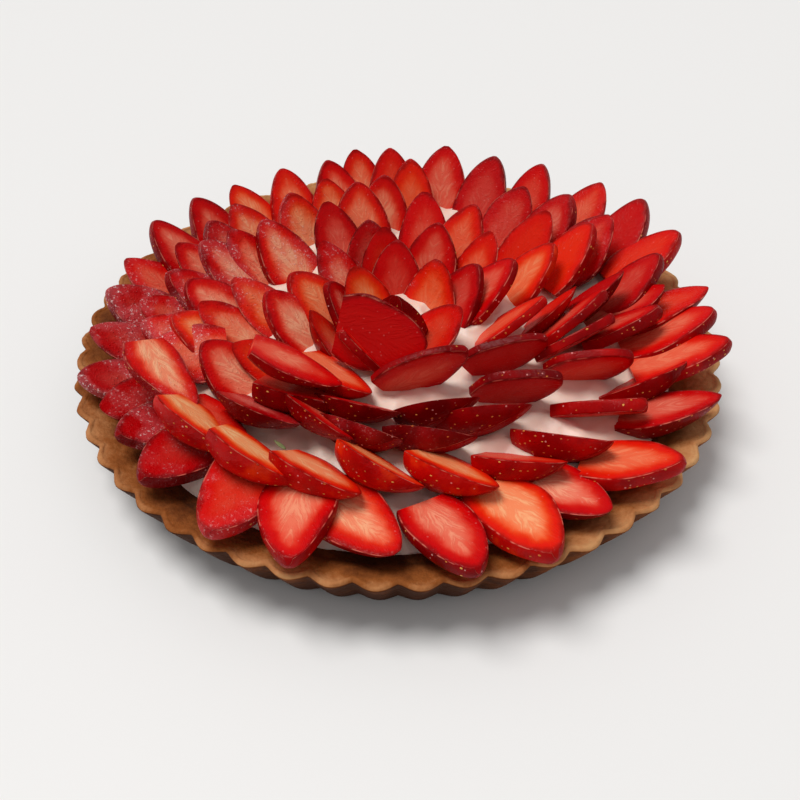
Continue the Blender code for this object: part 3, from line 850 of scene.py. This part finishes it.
def seed_places(piece, form):
    """Place, outward direction, direction along the berry and size of each seed on one slice's skin."""
    chance = random.Random(piece["name"] + "seeds")
    slope_step = 0.02
    seeds = []
    for row in range(1, int(piece["length"] / SEED_PITCH)):
        part = row * SEED_PITCH / piece["length"]
        radius = piece["half"] * berry_radius(part * form["end"])
        if radius < SEED_TIP_RADIUS:
            continue
        ahead = piece["half"] * berry_radius((part + slope_step) * form["end"])
        rise = (radius - ahead) / (slope_step * piece["length"])
        most = int(math.pi * radius / SEED_PITCH)
        for column in range(-most, most + 1):
            angle = column * SEED_PITCH / radius
            level = radius * math.sin(angle)
            if (row + column) % 2 or not form["low"] + SEED_MARGIN < level < form["high"] - SEED_MARGIN:
                continue
            place = settle(piece, form, part, radius * math.cos(angle), level, angle)
            if place.z < cream_height(math.hypot(place.x, place.y)) or chance.random() < SEEDS_LOST:
                continue
            outward = (math.cos(angle) * piece["side"] + math.sin(angle) * piece["normal"]
                       + rise * piece["along"]).normalized()
            sunk = place - SEED_SINK * outward
            seeds.append((sunk, outward, piece["along"], chance.uniform(*SEED_SIZES)))
    return seeds


def seed_planter(finish):
    """Geometry nodes that put one small seed, pointing along the berry, on each point of a mesh."""
    tree = bpy.data.node_groups.new("seed_planter", "GeometryNodeTree")
    tree.interface.new_socket("Geometry", in_out="INPUT", socket_type="NodeSocketGeometry")
    tree.interface.new_socket("Seed Length", in_out="INPUT", socket_type="NodeSocketFloat")
    tree.interface.new_socket("Geometry", in_out="OUTPUT", socket_type="NodeSocketGeometry")

    def node(kind, inputs, **settings):
        """A new node with its settings; each input is linked to an output or gets a constant."""
        made = tree.nodes.new(kind)
        for key, value in settings.items():
            setattr(made, key, value)
        for key, value in inputs.items():
            if isinstance(value, bpy.types.NodeSocket):
                tree.links.new(value, made.inputs[key])
            else:
                made.inputs[key].default_value = value
        return made.outputs

    def kept(name, kind):
        return node("GeometryNodeInputNamedAttribute", {"Name": name}, data_type=kind)["Attribute"]

    entry = node("NodeGroupInput", {})
    bead = node("GeometryNodeMeshIcoSphere", {"Radius": 0.5, "Subdivisions": 1})
    shape = node("GeometryNodeTransform", {"Geometry": bead["Mesh"], "Scale": SEED_FORM})
    turn = node("FunctionNodeAxesToRotation", {
        0: kept("outward", "FLOAT_VECTOR"), 1: kept("along", "FLOAT_VECTOR"),
    }, primary_axis="Z", secondary_axis="X")
    scale = node("ShaderNodeMath", {0: kept("grown", "FLOAT"), 1: entry["Seed Length"]},
                 operation="MULTIPLY")
    plant = node("GeometryNodeInstanceOnPoints", {
        "Points": entry["Geometry"], "Instance": shape["Geometry"], "Rotation": turn["Rotation"],
        "Scale": scale[0]})
    real = node("GeometryNodeRealizeInstances", {"Geometry": plant["Instances"]})
    smooth = node("GeometryNodeSetShadeSmooth", {"Geometry": real["Geometry"]})
    coat = node("GeometryNodeSetMaterial", {"Geometry": smooth["Geometry"], "Material": finish})
    node("NodeGroupOutput", {"Geometry": coat["Geometry"]})
    return tree


def seeds_mesh(seeds, finish):
    """Seeds on all the places, as one mesh."""
    dots = bpy.data.meshes.new("seed_dots")
    dots.from_pydata([seed[0] for seed in seeds], [], [])
    for key, spot in (("outward", 1), ("along", 2)):
        values = np.array([seed[spot][:] for seed in seeds]).ravel()
        dots.attributes.new(key, "FLOAT_VECTOR", "POINT").data.foreach_set("vector", values)
    keep_values(dots, grown=[seed[3] for seed in seeds])
    carrier = bpy.data.objects.new("seed_dots", dots)
    bpy.context.scene.collection.objects.link(carrier)
    tree = seed_planter(finish)
    planter = carrier.modifiers.new("seed_planter", "NODES")
    planter.node_group = tree
    sockets = {item.name: item.identifier for item in tree.interface.items_tree if item.in_out == "INPUT"}
    planter[sockets["Seed Length"]] = SEED_LENGTH
    graph = bpy.context.evaluated_depsgraph_get()
    mesh = bpy.data.meshes.new_from_object(carrier.evaluated_get(graph))
    carrier.modifiers.remove(planter)
    bpy.data.objects.remove(carrier, do_unlink=True)
    mesh.name = "seeds"
    return mesh


# ---------------------------------------------------------------- scrap of leaf

LEAF_ROWS, LEAF_COLUMNS = 9, 8
LEAF_LENGTH = 5 * MM
LEAF_THICKNESS = 0.22 * MM
LEAFY_SLICE = "second_19"


def leaf_bit(place, heading, length, finish):
    """A scrap of sepal that stayed on a berry: a thin, slightly curled leaf."""
    points = []
    for row in range(LEAF_ROWS):
        part = row / (LEAF_ROWS - 1)
        half = 0.16 * length * math.sin(math.pi * min(0.97, 0.12 + 0.85 * part)) ** 0.8
        for column in range(LEAF_COLUMNS):
            angle = math.tau * column / LEAF_COLUMNS
            side = half * math.cos(angle)
            up = LEAF_THICKNESS * math.sin(angle) + 0.25 * length * part ** 2 + 2.0 * side * side / length
            along = part * length
            points.append((place[0] + along * math.cos(heading) - side * math.sin(heading),
                           place[1] + along * math.sin(heading) + side * math.cos(heading),
                           place[2] + up))
    return ringed_mesh("leaf_bit", points, LEAF_COLUMNS, finish)


# ---------------------------------------------------------------- berries, node by node

def members(node):
    """Names of the slices that a node of the part holds."""
    return node.split("_with_")


def strawberries():
    """Show the slices, node by node as the part joins them, and their seeds; give back how they lie."""
    finish = cut_strawberry()
    laid = {piece["name"]: piece for piece in lay_slices()}
    forms = {name: slice_form(piece) for name, piece in laid.items()}
    for node in sorted(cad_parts):
        names = members(node)
        if names[0] not in laid:
            continue
        shapes = [slice_shape(laid[name], forms[name]) for name in names]
        show(f"berry_{node}", slices_mesh(f"{node}_flesh", shapes, finish), [node])
    seeds = [seed for name, piece in laid.items() for seed in seed_places(piece, forms[name])]
    show("strawberry_seeds", seeds_mesh(seeds, seed_husk()))
    return list(laid.values())


# ---------------------------------------------------------------- stage

FLOOR_REACH = 3.0
FLOOR_COLOUR = (0.88, 0.875, 0.87, 1.0)
ROOM_LIGHT = 0.40
# The window: degrees right of the back and up from level, strength, width in degrees and colour
WINDOW_BEARING = (-64.0, 69.0)
WINDOW_STRENGTH = 2.02
WINDOW_WIDTH = 30.0
WINDOW_COLOUR = (1.0, 0.985, 0.965)

LENS_MM, SENSOR_MM = 42.7, 36.0
CAMERA_PLACE = Vector((0.0007, -0.3083, 0.2685))
CAMERA_AIM = Vector((0.0007, -0.0418, 0.024))


def place_and_aim(name, data, place, direction):
    """An object for a light or the camera, looking along a direction."""
    thing = bpy.data.objects.new(name, data)
    thing.location = place
    thing.rotation_euler = direction.to_track_quat("-Z", "Y").to_euler()
    bpy.context.scene.collection.objects.link(thing)
    return thing


def window_light():
    """Soft light from one side, at the left of the back and high up."""
    light = bpy.data.lights.new("window", "SUN")
    light.energy = WINDOW_STRENGTH
    light.angle = math.radians(WINDOW_WIDTH)
    light.color = WINDOW_COLOUR
    turn, rise = (math.radians(angle) for angle in WINDOW_BEARING)
    source = Vector((math.sin(turn) * math.cos(rise), math.cos(turn) * math.cos(rise), math.sin(rise)))
    place_and_aim("window", light, 0.8 * source, -source)


def stage():
    """A plain pale floor in an evenly lit white room with one window."""
    floor_mesh = bpy.data.meshes.new("floor")
    corners = [(x * FLOOR_REACH, y * FLOOR_REACH, 0) for x, y in ((-1, -1), (1, -1), (1, 1), (-1, 1))]
    floor_mesh.from_pydata(corners, [], [(0, 1, 2, 3)])
    paper = Finish("pale_floor")
    paper.set(Base_Color=FLOOR_COLOUR, Roughness=0.6)
    floor_mesh.materials.append(paper.material)
    floor = bpy.data.objects.new("floor", floor_mesh)
    bpy.context.scene.collection.objects.link(floor)

    world = bpy.data.worlds.new("studio")
    world.use_nodes = True
    background = world.node_tree.nodes["Background"]
    background.inputs["Color"].default_value = (1.0, 1.0, 1.0, 1.0)
    background.inputs["Strength"].default_value = ROOM_LIGHT
    bpy.context.scene.world = world
    window_light()


def camera():
    """The scene's camera, in front of the tart and above it."""
    lens = bpy.data.cameras.new("camera")
    lens.lens = LENS_MM
    lens.sensor_width = SENSOR_MM
    bpy.context.scene.camera = place_and_aim("camera", lens, CAMERA_PLACE, CAMERA_AIM - CAMERA_PLACE)
    bpy.context.scene.view_settings.view_transform = "Standard"


def build():
    """Camera, stage and every piece of the tart."""
    camera()
    stage()
    show("crust_shell", crust_mesh(baked_crust()), ["crust"])
    laid = strawberries()
    show("cream_filling", cream_mesh(laid, whipped_cream()), ["cream"])
    leafy = next(piece for piece in laid if piece["name"] == LEAFY_SLICE)
    heading = math.atan2(-leafy["along"].y, -leafy["along"].x)
    show("sepal_scrap", leaf_bit(leafy["stem"], heading, LEAF_LENGTH, leaf_green()))


build()
